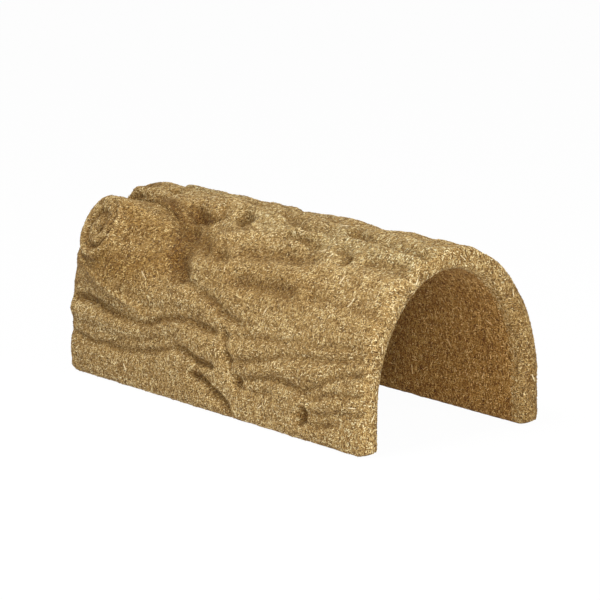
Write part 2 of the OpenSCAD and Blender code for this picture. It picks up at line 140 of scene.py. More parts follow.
# Tones of the loose flakes, each a column of the tone map, with a margin across and a height along.
# The export bakes through a map of this name, so the flakes keep their tones.
TONES = 24
TONE_MAP = "OFBake"
TONE_MARGIN = 0.1
TONE_HEIGHT = 0.9
# Loose flakes. Their lengths, the least, the most and the commonest, and lifts are in millimetres,
# and their ends and widths are shares of the width.
FLAKE_SIDES = 3
FLAKE_ENDS = (0.5, 0.35)
FLAKE_WIDTH = 0.48 * MM
FLAKE_THICKNESS = 0.3 * MM
FLAKE_LENGTHS = (0.6, 2.4, 1.0)
FLAKE_WIDTHS = (0.7, 1.3)
FLAKE_LIFTS = (-0.06, 0.1)
FLAKE_TILT = 0.08
FLAKE_TONES = (0.1, 1.0)
# How strongly a flake's tone follows the tint of the skin below it, and so its painted shade and browner
# hollows
TINT_PULL = 1.5
# Lean of the flakes on the bark and in the tunnel, and how near the floor they come inside
STEEP = math.radians(55)
FOOT_CLEARANCE = 1 * MM

SEED = 7

# Bark marks. A place is (distance from the middle of the log, girth up from the -Y foot), in millimetres,
# and a mark is (depth or height, half width, line of places). The far side repeats them, end for end.
GROOVES = [
    # Lower wall on the stub's half
    (1.7, 1.8, [(-119, 42), (-108, 43), (-99, 42), (-92, 40), (-82, 39), (-64, 37), (-53, 38)]),
    (1.7, 1.8, [(-53, 38), (-44, 42), (-31, 45), (-22, 46), (-13, 45), (4, 43)]),
    (0.9, 1.6, [(-62, 46), (-46, 48), (-35, 51), (-24, 51), (-8, 49)]),
    (0.8, 1.5, [(-81, 26), (-68, 27), (-46, 31), (-28, 36)]),
    (1.2, 1.7, [(-126, 24), (-104, 20), (-91, 21), (-78, 20), (-60, 22), (-41, 26), (-28, 30)]),
    (2.0, 1.7, [(-28, 30), (-22, 30), (-10, 26), (3, 25)]),
    (2.4, 1.9, [(-13, 18), (-6, 17), (4, 12), (12, 9), (18, 4)]),
    # Deep valley beside the stub, and the slanting groove below it
    (2.6, 9.0, [(-54, 98), (-47, 88), (-42, 78), (-38, 71)]),
    (3.8, 4.0, [(-46, 76), (-36, 68)]),
    (1.8, 1.9, [(-38, 68), (-27, 65), (-17, 62), (-6, 60), (4, 55), (11, 53), (21, 51)]),
    # Pits down the lower wall
    (2.6, 2.3, [(10, 44), (12, 42)]),
    (1.6, 2.5, [(12, 40), (13, 38)]),
    (2.8, 2.3, [(15, 33), (17, 31)]),
    (2.0, 2.3, [(17, 29), (18, 27)]),
    (3.2, 2.4, [(23, 22), (25, 20)]),
    (3.4, 2.8, [(76, 12), (78, 15)]),
    # Lower wall on the other half
    (1.2, 1.6, [(25, 23), (36, 25), (52, 28), (60, 28), (76, 26), (82, 28), (89, 31), (94, 34)]),
    (1.1, 1.6, [(94, 34), (101, 37), (112, 40), (120, 41)]),
    (0.8, 1.4, [(27, 17), (36, 18), (52, 20)]),
    (1.0, 1.4, [(79, 24), (90, 25), (98, 28), (110, 30), (120, 31)]),
    (0.9, 1.5, [(80, 16), (91, 17), (106, 20), (122, 22)]),
    (1.1, 1.4, [(80, 10), (90, 11), (105, 14)]),
    (1.0, 1.6, [(20, 31), (44, 36), (61, 41), (84, 43), (103, 46), (118, 49)]),
    (0.8, 1.5, [(14, 43), (40, 46), (64, 49), (85, 50), (104, 53), (116, 54)]),
    # Upper wall
    (1.6, 1.4, [(68, 77), (70, 70)]),
    (1.4, 3.5, [(6, 72), (18, 72), (35, 73), (54, 73)]),
    (1.6, 1.5, [(10, 74), (17, 71)]),
    (0.8, 3.0, [(72, 73), (100, 73), (124, 72)]),
    (1.6, 5.0, [(2, 87), (20, 89), (40, 92), (54, 94)]),
    (2.0, 2.0, [(5, 86), (10, 87)]),
    (1.2, 4.0, [(92, 99), (124, 100)]),
    (2.0, 4.0, [(68, 104), (76, 98)]),
    (2.8, 2.0, [(75, 100), (77, 96)]),
    (2.0, 4.5, [(-36, 94), (-30, 88), (-26, 84)]),
    (1.8, 3.0, [(-16, 83), (-8, 82)]),
    (1.6, 3.0, [(-30, 100), (-20, 98), (-8, 101)]),
    # Crown
    (3.4, 5.0, [(-60, 108), (-50, 105), (-40, 104)]),
    (5.2, 2.6, [(-57, 107), (-52, 105)]),
    (1.8, 2.0, [(-43, 115), (-34, 106)]),
    (3.4, 3.6, [(-23, 112), (-15, 107)]),
    (2.6, 3.0, [(-97, 123), (-89, 119)]),
    (1.8, 3.5, [(-100, 111), (-82, 108)]),
    (4.0, 3.5, [(-126, 107), (-104, 108), (-88, 108), (-74, 105), (-64, 99)]),
    (1.8, 5.0, [(-126, 120), (-116, 120)]),
    (1.6, 3.0, [(-36, 129), (-22, 122)]),
    (2.4, 4.5, [(-4, 124), (6, 121), (14, 118)]),
    (2.0, 4.0, [(20, 116), (34, 113)]),
    (1.2, 3.0, [(40, 118), (50, 112)]),
    (2.2, 3.0, [(22, 104), (34, 104), (48, 102)]),
    (2.6, 4.0, [(58, 121), (68, 117)]),
    (1.6, 4.0, [(70, 116), (92, 115)]),
    (1.6, 3.5, [(100, 114), (122, 112)]),
]
RIDGES = [
    (2.2, 2.5, [(-44, 121), (-28, 118), (-12, 117), (6, 116)]),
    (1.8, 2.0, [(22, 109), (44, 109)]),
    (1.8, 2.0, [(20, 100), (40, 100)]),
    (1.8, 2.2, [(60, 112), (85, 109), (100, 107), (124, 107)]),
    (1.8, 3.0, [(-20, 92), (-8, 96), (2, 98)]),
    (0.8, 4.0, [(2, 81), (30, 82), (60, 83)]),
    (0.8, 4.0, [(62, 90), (90, 90), (122, 88)]),
    (0.9, 3.0, [(-28, 77), (-4, 77)]),
    (2.4, 6.0, [(-124, 65), (-112, 62)]),
    (2.0, 2.2, [(-120, 64), (-106, 57), (-93, 52), (-76, 47), (-62, 44)]),
]
# Broad areas of painted shade, darker and browner, mostly under and beside the stub: (strength, half width,
# line of places)
SHADE_PATCHES = [
    (1.0, 11.0, [(-112, 65), (-92, 61), (-72, 61), (-48, 76)]),
    (0.8, 13.0, [(-96, 84), (-60, 84), (-44, 84)]),
    (0.7, 7.0, [(-44, 92), (-30, 88), (-12, 82)]),
    (0.6, 6.0, [(-66, 107), (-38, 105)]),
    (0.8, 8.0, [(-74, 104), (-58, 98), (-48, 90)]),
    (0.4, 14.0, [(0, 74), (60, 75)]),
    (1.0, 7.0, [(130, 180), (130, 260)]),
]
# Broad areas of painted sheen on the crown, paler and greyer, the same way
SHEEN_PATCHES = [
    (0.6, 12.0, [(-20, 114), (30, 112)]),
    (1.0, 16.0, [(50, 112), (124, 110)]),
]
# Length over which the repeated marks of the far side fade out towards the +X rim, in millimetres
FAR_PLAIN = 35
# Share of a mark's height that the skin adds to the solids, how far it varies and over what length
FINE_SHARE = 0.8
MARK_CHANGE = 0.35
MARK_STRETCH = 14 * MM
# Raised lips on both sides of a groove, as shares of its depth and half widths
LIP_HEIGHT = 0.22
LIP_REACH = 2.2
# Height of a mark, in millimetres, at which the skin has three quarters of the painted highlight of a
# crest, or of the painted shade and browner hay of a hollow
FULL_RELIEF = 1.8

# Girth of the line past the crown where the bark is smoother and its half width, in millimetres,
# and the share of the marks that is lost there
SKYLINE_GIRTH = 140
SKYLINE_HALF_WIDTH = 10
SKYLINE_LOSS = 0.75

# How far the tunnel's own flakes stay from the ends, and the share of that at which its painted shade
# starts
MOUTH = 8 * MM
MOUTH_PALE = 0.3

# Painted light that the colours are multiplied by: shade and browner hay in hollows, highlights on crests,
# shade in the shaded patches, sheen on the crown, and shade in the tunnel, warm as bounced light
HOLLOW_SHADE_AND_BROWN = (0.6, 0.51, 0.36)
CREST_HIGHLIGHT = (1.2, 1.22, 1.25)
PAINTED_SHADE_TINT = (0.72, 0.62, 0.43)
PAINTED_SHEEN_TINT = (1.04, 1.18, 1.4)
TUNNEL_SHADE_TINT = (1.1, 0.9, 0.64)
NO_TINT = (1.0, 1.0, 1.0)

# Colours of chopped hay, from the darkest, also the painted shade of the gaps between stalks, to the palest
# straw
HAY_TONES = [
    (0.0, (0.075, 0.034, 0.009)),
    (0.3, (0.24, 0.135, 0.037)),
    (0.55, (0.42, 0.265, 0.092)),
    (0.8, (0.6, 0.43, 0.175)),
    (1.0, (0.9, 0.77, 0.45)),
]
# Palest of these in the ground below the stalks, on a scale from 0 to 1
GROUND_TONE = 0.7
# Layers of stalks in the skin: cell, half width and spread of the stalks, and shift of the pattern
STALK_LAYERS = [
    (0.7, 0.2, 1.5, 11.0),
    (0.95, 0.23, 1.5, 37.0),
    (1.25, 0.26, 1.3, 71.0),
    (1.7, 0.29, 1.1, 113.0),
]
STALK_LEAN = 0.9
# Painted shade in the gaps round each stalk
STALK_GAP_SHADE = 0.65
# Share of the shift that goes across
SHIFT_ACROSS = 0.7
# Where a stalk's end starts to fade and stops, in cells, and its edge and outline of painted shade, in half
# widths
STALK_END = (0.45, 0.55)
STALK_EDGE = 0.7
STALK_OUTLINE = 1.9
# Scale and detail of the flecks between the stalks, the broad patches and the streaks of straw
FLECKS = (1.6, 2.0)
PATCHES = (45.0, 3.0)
FLAKE_STREAKS = (1.0, 2.0)
LONG_STREAKS = (900.0, 2.0)
# Values of a noise at which a range of colours starts and ends, and the ranges of patches and long straw
NOISE_LOW = 0.3
NOISE_HIGH = 0.7
PATCH_TINTS = ((0.9, 0.86, 0.8), (1.06, 1.06, 1.06))
LONG_STRAW_TONES = ((0.42, 0.3, 0.14), (0.78, 0.66, 0.42))
# Streaks across each column of the tone map and along it, and how dark they are
STREAKS_ACROSS = 40
STREAKS_ALONG = 3.0
STREAK_SHADE = 0.75
BUMP_STRENGTH = 0.8
BUMP_DEPTH = 0.3 * MM
# Roughness and gloss of each finish
HAY_FINISH = (0.85, 0.2)
FLAKE_FINISH = (0.6, 0.3)
LONG_STRAW_FINISH = (0.55, 0.3)
FLOOR_FINISH = (0.9, 0.0)

# Light from all round, and lamps: azimuth, elevation, distance, size and power
WORLD_LIGHT = 0.36
LAMPS = {
    "top_light": (5, 66, 1.0, 0.4, 8.6),
    "front_light": (56, 10, 1.0, 0.4, 5.0),
    "right_light": (92, 34, 1.0, 0.4, 3.6),
}
FLOOR_HALF_SIZE = 4.0
FLOOR_DROP = 0.05 * MM
FLOOR_COLOUR = (0.9, 0.9, 0.9, 1.0)
FLOOR_GLOW = 0.97
WHITE = (1.0, 1.0, 1.0, 1.0)


def linked(name, data):
    """New object for a mesh, lamp or camera, in the scene."""
    piece = bpy.data.objects.new(name, data)
    bpy.context.scene.collection.objects.link(piece)
    return piece


def add(tree, kind, inputs=None, **settings):
    """New shader node, with its settings and its inputs' values or links."""
    node = tree.nodes.new(kind)
    for key, value in settings.items():
        setattr(node, key, value)
    for key, value in (inputs or {}).items():
        if isinstance(value, bpy.types.NodeSocket):
            tree.links.new(value, node.inputs[key])
        else:
            node.inputs[key].default_value = value
    return node


def calc(tree, operation, a, b=0.0):
    """Output of one Math node."""
    return add(tree, "ShaderNodeMath", {0: a, 1: b}, operation=operation).outputs[0]


def faded(tree, value, start, end):
    """1 where a value is at start and 0 where it is at end, with a smooth change between."""
    inputs = {"Value": value, "From Min": end, "From Max": start}
    return add(tree, "ShaderNodeMapRange", inputs, interpolation_type="SMOOTHSTEP").outputs[0]


def blended(tree, share, a, b, way="MIX"):
    """Output of one colour mix."""
    inputs = {0: share, 6: a, 7: b}
    return add(tree, "ShaderNodeMix", inputs, data_type="RGBA", blend_type=way).outputs[2]


def ramp(tree, value, stops):
    """Colour ramp over (position, colour) stops."""
    node = add(tree, "ShaderNodeValToRGB", {0: value})
    elements = node.color_ramp.elements
    while len(elements) < len(stops):
        elements.new(1.0)
    for element, (position, colour) in zip(elements, stops):
        element.position = position
        element.color = (*colour, 1.0)
    return node.outputs[0]


def noise_value(tree, place, scale, detail, dimensions):
    """Output of one noise."""
    inputs = {"Vector": place, "Scale": scale, "Detail": detail}
    return add(tree, "ShaderNodeTexNoise", inputs, noise_dimensions=dimensions).outputs["Fac"]


def noise_ramp(tree, value, low, high):
    """Colour ramp over the values of a noise."""
    return ramp(tree, value, [(NOISE_LOW, low), (NOISE_HIGH, high)])


def matte(name, roughness, gloss):
    """New material, its node tree and its main shader."""
    material = bpy.data.materials.new(name)
    material.use_nodes = True
    shader = material.node_tree.nodes["Principled BSDF"]
    shader.inputs["Roughness"].default_value = roughness
    shader.inputs["Specular IOR Level"].default_value = gloss
    return material, material.node_tree, shader


def stalk_layer(tree, grain, cell, half_width, spread, shift):
    """One layer of short stalks, one to a cell of the grain map: their mask, outline of painted shade and
    tone.
    """
    inputs = {0: grain, 1: (shift, SHIFT_ACROSS * shift, 0)}
    moved = add(tree, "ShaderNodeVectorMath", inputs, operation="ADD").outputs[0]
    inputs = {"Vector": moved, "Scale": 1 / cell}
    cells = add(tree, "ShaderNodeTexVoronoi", inputs, voronoi_dimensions="2D").outputs
    chance = add(tree, "ShaderNodeSeparateColor", {0: cells["Color"]}).outputs
    inputs = {0: moved, 1: cells["Position"]}
    offset = add(tree, "ShaderNodeVectorMath", inputs, operation="SUBTRACT").outputs[0]
    inputs = {"Value": chance[0], "To Min": STALK_LEAN - spread, "To Max": STALK_LEAN + spread}
    angle = add(tree, "ShaderNodeMapRange", inputs).outputs[0]
    inputs = {"Vector": offset, "Angle": angle}
    turned = add(tree, "ShaderNodeVectorRotate", inputs, rotation_type="Z_AXIS").outputs[0]
    place = add(tree, "ShaderNodeSeparateXYZ", {0: turned}).outputs
    off = calc(tree, "ABSOLUTE", place[1])
    along = faded(tree, calc(tree, "ABSOLUTE", place[0]), STALK_END[0] * cell, STALK_END[1] * cell)
    mask = calc(tree, "MULTIPLY", faded(tree, off, STALK_EDGE * half_width, half_width), along)
    outline = calc(tree, "MULTIPLY", faded(tree, off, half_width, STALK_OUTLINE * half_width), along)
    return mask, outline, chance[1]


def pressed_hay():
    """Matte skin of chopped stalks, packed every way, with painted shade in the gaps between them and pale
    flecks.
    """
    material, tree, shader = matte("pressed_hay", *HAY_FINISH)
    grain = add(tree, "ShaderNodeUVMap", uv_map=GRAIN_MAP).outputs[0]
    place = add(tree, "ShaderNodeTexCoord").outputs["Object"]

    height = noise_value(tree, grain, *FLECKS, "2D")
    inputs = {"Value": height, "From Min": NOISE_LOW, "From Max": NOISE_HIGH, "To Max": GROUND_TONE}
    colour = ramp(tree, add(tree, "ShaderNodeMapRange", inputs).outputs[0], HAY_TONES)
    for layer in STALK_LAYERS:
        mask, outline, chance = stalk_layer(tree, grain, *layer)
        # Painted shade round each stalk, in the gaps
        gap = calc(tree, "MULTIPLY", outline, STALK_GAP_SHADE)
        colour = blended(tree, gap, colour, (*HAY_TONES[0][1], 1.0))
        colour = blended(tree, mask, colour, ramp(tree, chance, HAY_TONES))
        height = calc(tree, "ADD", height, calc(tree, "MULTIPLY", mask, chance))

    patches = noise_ramp(tree, noise_value(tree, place, *PATCHES, "3D"), *PATCH_TINTS)
    colour = blended(tree, 1.0, colour, patches, "MULTIPLY")
    # The tint carries the painted shade, highlights and sheen, and the browner hay of the hollows
    tint = add(tree, "ShaderNodeAttribute", attribute_name=TINT).outputs["Vector"]
    colour = blended(tree, 1.0, colour, tint, "MULTIPLY")
    tree.links.new(colour, shader.inputs["Base Color"])
    inputs = {"Height": height, "Strength": BUMP_STRENGTH, "Distance": BUMP_DEPTH}
    tree.links.new(add(tree, "ShaderNodeBump", inputs).outputs[0], shader.inputs["Normal"])
    return material


def loose_straw(name, tint):
    """Dry stalks, each in the tone of its column on the tone map, with streaks along its length."""
    material, tree, shader = matte(name, *FLAKE_FINISH)
    tone_map = add(tree, "ShaderNodeUVMap", uv_map=TONE_MAP).outputs[0]
    across = add(tree, "ShaderNodeSeparateXYZ", {0: tone_map}).outputs[0]
    column = calc(tree, "FLOOR", calc(tree, "MULTIPLY", across, TONES))
    colour = ramp(tree, calc(tree, "DIVIDE", column, TONES - 1), HAY_TONES)
    inputs = {"Vector": tone_map, "Scale": (STREAKS_ACROSS * TONES, STREAKS_ALONG, 1.0)}
    streak_place = add(tree, "ShaderNodeMapping", inputs).outputs[0]
    streaks = noise_value(tree, streak_place, *FLAKE_STREAKS, "2D")
    shade = noise_ramp(tree, streaks, tuple(STREAK_SHADE * part for part in tint), tint)
    tree.links.new(blended(tree, 1.0, colour, shade, "MULTIPLY"), shader.inputs["Base Color"])
    return material


def long_straw(name, tint):
    """The longest stalks, pale and dry, with fine streaks."""
    material, tree, shader = matte(name, *LONG_STRAW_FINISH)
    place = add(tree, "ShaderNodeTexCoord").outputs["Object"]
    colour = noise_ramp(tree, noise_value(tree, place, *LONG_STREAKS, "3D"), *LONG_STRAW_TONES)
    colour = blended(tree, 1.0, colour, (*tint, 1.0), "MULTIPLY")
    tree.links.new(colour, shader.inputs["Base Color"])
    return material


def is_bark(place, normal):
    """Is a place on the outside of the log, away from the rims' flats and the feet?"""
    reach = math.hypot(place.y / HALF_WIDTH, max(0.0, place.z - LEG_HEIGHT) / RISE)
    outer = reach > 1 - WALL / 2 / RISE
    return outer and abs(normal.x) < END_FACING and normal.z > -END_FACING


def even_copy(name, node, edge):
    """Copy of a solid as one even mesh of small quads."""
    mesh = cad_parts[node].data.copy()
    bm = bmesh.new()
    bm.from_mesh(mesh)
    bmesh.ops.remove_doubles(bm, verts=bm.verts, dist=MERGE_GAP)
    bm.to_mesh(mesh)
    bm.free()
    rough = linked(name + "_rough", mesh)
    remesh = rough.modifiers.new("even mesh", "REMESH")
    remesh.mode = "VOXEL"
    remesh.voxel_size = edge
    even = bpy.data.meshes.new_from_object(rough.evaluated_get(bpy.context.evaluated_depsgraph_get()))
    even.name = name
    bpy.data.objects.remove(rough)
    bpy.data.meshes.remove(mesh)
    even.materials.clear()
    return even


def smooth(bm):
    """Evens out the points of a mesh."""
    axes = {"use_axis_x": True, "use_axis_y": True, "use_axis_z": True}
    for _ in range(SMOOTH_ROUNDS):
        bmesh.ops.smooth_vert(bm, verts=bm.verts, factor=SMOOTHING, **axes)


def soften(mesh):
    """Rounds off the facets that a solid's copy still shows."""
    bm = bmesh.new()
    bm.from_mesh(mesh)
    smooth(bm)
    bm.to_mesh(mesh)
    bm.free()


def refine_bark(mesh):
    """Halves the quads on the outside of the log, where the fine marks go."""
    bm = bmesh.new()
    bm.from_mesh(mesh)
    bm.normal_update()
    for face in bm.faces:
        face.tag = is_bark(face.calc_center_median(), face.normal)
    edges = [edge for edge in bm.edges if any(face.tag for face in edge.link_faces)]
    bmesh.ops.subdivide_edges(bm, edges=edges, cuts=1, use_grid_fill=True)
    smooth(bm)
    bm.to_mesh(mesh)
    bm.free()


def vertex_table(mesh, what):
    """Places or normals of all the vertices, one row each."""
    source = mesh.vertices if what == "co" else mesh.vertex_normals
    table = np.zeros(3 * len(mesh.vertices), np.float32)
    source.foreach_get(what, table)
    return table.reshape(-1, 3).astype(float)


def bark_places(points):
    """Place on the bark of each point, in millimetres."""
    x, y, z = points.T
    angles = np.arctan2((z - LEG_HEIGHT) / RISE, -y / HALF_WIDTH)
    on_arch = np.interp(angles, ARCH_ANGLES, ARCH_GIRTHS)
    on_leg = np.where(y < 0, FOOT_TURN + z, GIRTH - FOOT_TURN - z)
    return np.stack([x, np.where(z > LEG_HEIGHT, on_arch, on_leg)], axis=1) / MM


def line_gaps(places, line):
    """Distance of each place from a line of places."""
    gaps = np.full(len(places), np.inf)
    for start, end in zip(line, line[1:]):
        run = np.subtract(end, start)
        share = np.clip((places - start) @ run / (run @ run), 0, 1)
        gaps = np.minimum(gaps, np.linalg.norm(places - start - share[:, None] * run, axis=1))
    return gaps


def strongest(places, marks):
    """Greatest strength of a set of marks at each place."""
    peaks = np.zeros(len(places))
    for strength, half_width, line in marks:
        peaks = np.maximum(peaks, strength * np.exp(-(line_gaps(places, line) / half_width) ** 2))
    return peaks


def lips(places):
    """Height of the raised lips beside the grooves at each place."""
    peaks = np.zeros(len(places))
    for depth, half_width, line in GROOVES:
        off = line_gaps(places, line) / half_width - LIP_REACH
        peaks = np.maximum(peaks, LIP_HEIGHT * depth * np.exp(-off ** 2))
    return peaks


def both_sides(places, height):
    """What a height gives at each place, and its repeat on the far side, turned end for end."""
    repeat = np.clip((HALF_LENGTH / MM - places[:, 0]) / FAR_PLAIN, 0, 1)
    return height(places) + repeat * height(np.array([0, GIRTH / MM]) - places)


def bark_marks(places):
    """Height of the marks at each place, in millimetres."""
    return both_sides(places, lambda p: strongest(p, RIDGES) + lips(p) - strongest(p, GROOVES))


def bark_areas(places, areas):
    """Strength at each place of a set of broad areas, such as the patches of painted shade and those of
    painted sheen, from 0 to 1.
    """
    return both_sides(places, lambda p: strongest(p, areas))


def tinted(tints, share, tint):
    """Tints with one more, laid over them by a share for each point."""
    return tints * (1 + share[:, None] * (np.array(tint) - 1))


def noise_at(points, size):
    """Smooth noise about -1 to 1 at each point, with lumps of a size."""
    return np.array([noise.noise(Vector(point) / size) for point in points])


def finish_skin(mesh, points, relief, tints):
    """Sets a skin's points, with its lumps and grain, and its tints: painted shade and browner hay in
    hollows, painted highlights on crests.
    """
    mesh.vertices.foreach_set("co", points.astype(np.float32).ravel())
    mesh.update()
    rough = noise_at(points, LUMP_SIZE) * LUMP_HEIGHT + noise_at(points, GRAIN_SIZE) * GRAIN_HEIGHT
    points = points + vertex_table(mesh, "vector") * rough[:, None]
    points[:, 2] = np.maximum(points[:, 2], 0)
    mesh.vertices.foreach_set("co", points.astype(np.float32).ravel())
    # Painted shade, with browner hay, in the hollows, and painted highlights on the crests
    tints = tinted(tints, np.clip(-relief, 0, 1), HOLLOW_SHADE_AND_BROWN)
    tints = tinted(tints, np.clip(relief, 0, 1), CREST_HIGHLIGHT)
    vectors = mesh.attributes.new(TINT, "FLOAT_VECTOR", "POINT").data
    vectors.foreach_set("vector", tints.astype(np.float32).ravel())
    mesh.polygons.foreach_set("use_smooth", [True] * len(mesh.polygons))
    mesh.update()


def stub_frames():
    """Seat and sawn end of the stub, each as its middle and its own x, y and z directions."""
    angle = np.interp(STUB_GIRTH, ARCH_GIRTHS, ARCH_ANGLES)
    up = Vector((0, -math.cos(angle) / HALF_WIDTH, math.sin(angle) / RISE)).normalized()
    along = Vector((1, 0, 0))
    across = up.cross(along)
    on_arch = Vector((0, -HALF_WIDTH * math.cos(angle), LEG_HEIGHT + RISE * math.sin(angle)))
    seat = on_arch + (STUB_ROOT - HALF_LENGTH) * along + SEAT_HEIGHT * up
    face = seat + STUB_LENGTH * up - STUB_LEAN * along
    face_up = up * math.cos(FACE_DIP) - across * math.sin(FACE_DIP)
    face_up = face_up * math.cos(FACE_TURN) - along * math.sin(FACE_TURN)
    face_across = across * math.cos(FACE_DIP) + up * math.sin(FACE_DIP)
    face_along = face_across.cross(face_up)
    return (seat, along, across, up), (face, face_along, face_across, face_up)


def in_frame(points, stub_frame):
    """Points as seen from a frame of the stub."""
    middle, *ways = stub_frame
    return (points - np.array(middle)) @ np.array(ways).T


def root_ovals(spots):
    """Distance of each spot from the middle of the stub's root, 1 at its edge."""
    return np.hypot(spots[:, 0] / ROOT_LENGTH, spots[:, 1] / ROOT_GIRTH)


def crown_crease(spots):
    """Depth of the crease between the stub and the crown at each spot, in millimetres."""
    gaps = line_gaps(spots[:, :2] / MM, CREASE_LINE)
    return CREASE_DEPTH * np.exp(-(gaps / CREASE_HALF_WIDTH) ** 2) * (spots[:, 2] > -CREASE_REACH)


def stub_crest(spots):
    """How near each spot is to the painted highlight along the stub's crest, from 0 to 1."""
    line = [(along, across - CREST_DROP) for along, across in CREASE_LINE]
    return np.exp(-(line_gaps(spots[:, :2] / MM, line) / CREST_HALF_WIDTH) ** 2)


def carve_bark(mesh):
    """Presses the fine marks into the outside of the log, and tints it with painted shade, highlights and
    sheen, and the tunnel with painted shade.
    """
    points = vertex_table(mesh, "co")
    normals = vertex_table(mesh, "vector")
    places = bark_places(points)
    outside = np.array([is_bark(Vector(p), Vector(n)) for p, n in zip(points, normals)], float)
    ends = np.clip((HALF_LENGTH - np.abs(points[:, 0])) / EDGE, 0, 1)
    feet = np.clip(points[:, 2] / EDGE, 0, 1)
    spots = in_frame(points, stub_frames()[0])
    clear = np.clip((root_ovals(spots) - 1) / ROOT_CLEARANCE, 0, 1)
    clear = np.where(points[:, 1] < 0, clear, 1)
    change = 1 + MARK_CHANGE * noise_at(points, MARK_STRETCH)
    skyline = np.exp(-((places[:, 1] - SKYLINE_GIRTH) / SKYLINE_HALF_WIDTH) ** 2)
    marks = outside * ends * feet * clear * change * (1 - SKYLINE_LOSS * skyline) * bark_marks(places)
    carved = marks - outside * crown_crease(spots)
    # Painted shade in the tunnel, warm as bounced light, fading in from the mouths
    inner = (1 - outside) * np.clip((HALF_LENGTH - np.abs(points[:, 0])) / MOUTH - MOUTH_PALE, 0, 1)
    tints = tinted(np.ones((len(points), 3)), inner, TUNNEL_SHADE_TINT)
    # Painted shade of the shaded patches, on all but the tunnel
    tints = tinted(tints, (1 - inner) * bark_areas(places, SHADE_PATCHES), PAINTED_SHADE_TINT)
    # Painted sheen on the crown
    tints = tinted(tints, outside * bark_areas(places, SHEEN_PATCHES), PAINTED_SHEEN_TINT)
    moved = points + normals * (FINE_SHARE * carved * MM)[:, None]
    finish_skin(mesh, moved, np.tanh(marks / FULL_RELIEF), tints)


def spiral_gaps(spots):
    """Distance of each spot on the sawn end from the spiral."""
    radius = np.hypot(spots[:, 0], spots[:, 1])
    turn = (np.arctan2(spots[:, 1], spots[:, 0]) / math.tau + SPIRAL_LEAD) % 1.0
    gaps = np.full(len(spots), np.inf)
    for lap in range(math.ceil(SPIRAL_TURNS) + 1):
        past = np.maximum(0, turn + lap - SPIRAL_TURNS)
        off = radius - SPIRAL_START - SPIRAL_PITCH * (turn + lap)
        gaps = np.minimum(gaps, np.hypot(off, SPIRAL_FADE * SPIRAL_PITCH * past))
    return gaps


def carve_stub(mesh):
    """Sharpens the brim and the spiral of the sawn end, lowers it and flares the root into the wall."""
    points = vertex_table(mesh, "co")
    seat, face = stub_frames()
    ends = in_frame(points, face)
    on_face = np.clip(1 + ends[:, 2] / EDGE, 0, 1)
    groove = np.exp(-(spiral_gaps(ends) / SPIRAL_HALF_WIDTH) ** 2) * on_face
    inset = FACE_RADIUS - EDGE / 2 - np.hypot(ends[:, 0], ends[:, 1])
    brim = np.exp(-(inset / BRIM_HALF_WIDTH) ** 2) * on_face * (1 - groove)
    lift = BRIM_HEIGHT * brim - SPIRAL_DEPTH * groove

    spots = in_frame(points, seat)
    along, across, up = spots.T
    low = np.clip(1 - up / FLARE_HEIGHT, 0, 1) ** 2
    crown_side = np.clip(across / ROOT_GIRTH, 0, 1)
    valley_side = np.clip(SINK_START + along / ROOT_LENGTH, 0, 1)
    reach = FLARE_REACH * low * (1 - crown_side) * np.clip(root_ovals(spots), 0, 1)
    outwards = spots[:, :2] / np.maximum(np.hypot(along, across), MM)[:, None]
    hang = np.clip(DROOP_START - across / FACE_RADIUS, 0, DROOP_MOST)
    droop = FACE_DROOP * np.clip(up / STUB_LENGTH, 0, 1) * hang
    crease = crown_crease(spots) * (1 - on_face)
    sink = ROOT_SINK * low * valley_side + FINE_SHARE * crease * MM
    moved = np.column_stack([outwards * reach[:, None], -sink])
    moved[:, 1] -= droop
    points = points + moved @ np.array(seat[1:]) + np.outer(lift, np.array(face[3]))
    # Painted shade of the shaded patches on the stub, away from its sawn end
    painted_shade = bark_areas(bark_places(points), SHADE_PATCHES) * (1 - on_face)
    tints = tinted(np.ones((len(points), 3)), painted_shade, PAINTED_SHADE_TINT)
    # Painted highlights on the brim and the crest, and painted shade with browner hay in the spiral's
    # groove
    crest = stub_crest(spots) * (1 - on_face)
    finish_skin(mesh, points, brim + crest - np.sqrt(groove), tints)


def map_grain(mesh):
    """Grain map in millimetres, laid flat on each face by the way that it looks."""
    layer = mesh.uv_layers.new(name=GRAIN_MAP)
    places = []
    for polygon in mesh.polygons:
        normal = polygon.normal
        if abs(normal.x) > END_FACING:
            along = Vector((0, 1, 0))
            across = Vector((0, 0, 1))
            shift = RIM_SHIFT
        else:
            strip = round(math.atan2(normal.z, normal.y) / math.tau * GRAIN_STRIPS)
            angle = strip / GRAIN_STRIPS * math.tau
            along = Vector((1, 0, 0))
            across = Vector((0, -math.sin(angle), math.cos(angle)))
            shift = STRIP_SHIFT * strip
        for index in polygon.vertices:
            place = mesh.vertices[index].co
            places += [place.dot(along) / MM + shift, place.dot(across) / MM]
    layer.data.foreach_set("uv", places)


def flake_blanks():
    """Flakes of unit size along X, one for each tone, each with its column on the tone map."""
    blanks = []
    for tone in range(TONES):
        bm = bmesh.new()
        ends = {"radius1": FLAKE_ENDS[0], "radius2": FLAKE_ENDS[1], "depth": 1.0}
        bmesh.ops.create_cone(bm, cap_ends=True, segments=FLAKE_SIDES, **ends)
        bmesh.ops.triangulate(bm, faces=bm.faces)
        layer = bm.loops.layers.uv.new(TONE_MAP)
        for face in bm.faces:
            for loop in face.loops:
                turn = (math.atan2(loop.vert.co.y, loop.vert.co.x) / math.tau) % 1.0
                across = tone + TONE_MARGIN + (1 - 2 * TONE_MARGIN) * turn
                loop[layer].uv = (across / TONES, 0.5 + TONE_HEIGHT * loop.vert.co.z)
        bmesh.ops.rotate(bm, verts=bm.verts, matrix=Matrix.Rotation(math.pi / 2, 3, "Y"))
        blank = bpy.data.meshes.new("flake_blank")
        bm.to_mesh(blank)
        bm.free()
        coordinates = [0.0] * (3 * len(blank.vertices))
        blank.vertices.foreach_get("co", coordinates)
        blanks.append((blank, coordinates))
    return blanks


